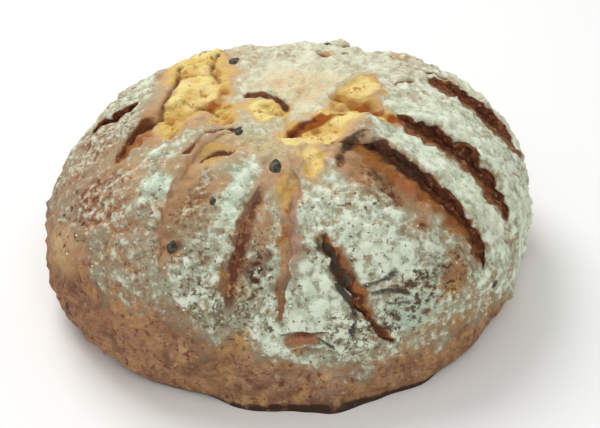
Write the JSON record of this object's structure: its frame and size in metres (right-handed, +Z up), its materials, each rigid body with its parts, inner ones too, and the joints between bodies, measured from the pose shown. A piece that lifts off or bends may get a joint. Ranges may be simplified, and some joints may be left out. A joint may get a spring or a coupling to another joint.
{
  "type": "pumpkin bread loaf",
  "caption": "Round rustic pumpkin bread loaf, scored in a sunburst of opened slashes, torn at the crown to its yellow crumb, floured on top, with sunken seeds and a flat base.",
  "frame": {"origin": "middle of the loaf's box, on the surface it rests on", "axes": "+Z up through the crown, +X along the loaf's longest width, -Y towards the side shown in the picture"},
  "size_m": [0.2216, 0.1956, 0.0976],
  "materials": {
    "crust": "matte baked crust, brown below and floured above, with yellow crumb in the tears"
  },
  "bodies": {
    "root": {"loaf": "crust"}
  },
  "joints": []
}
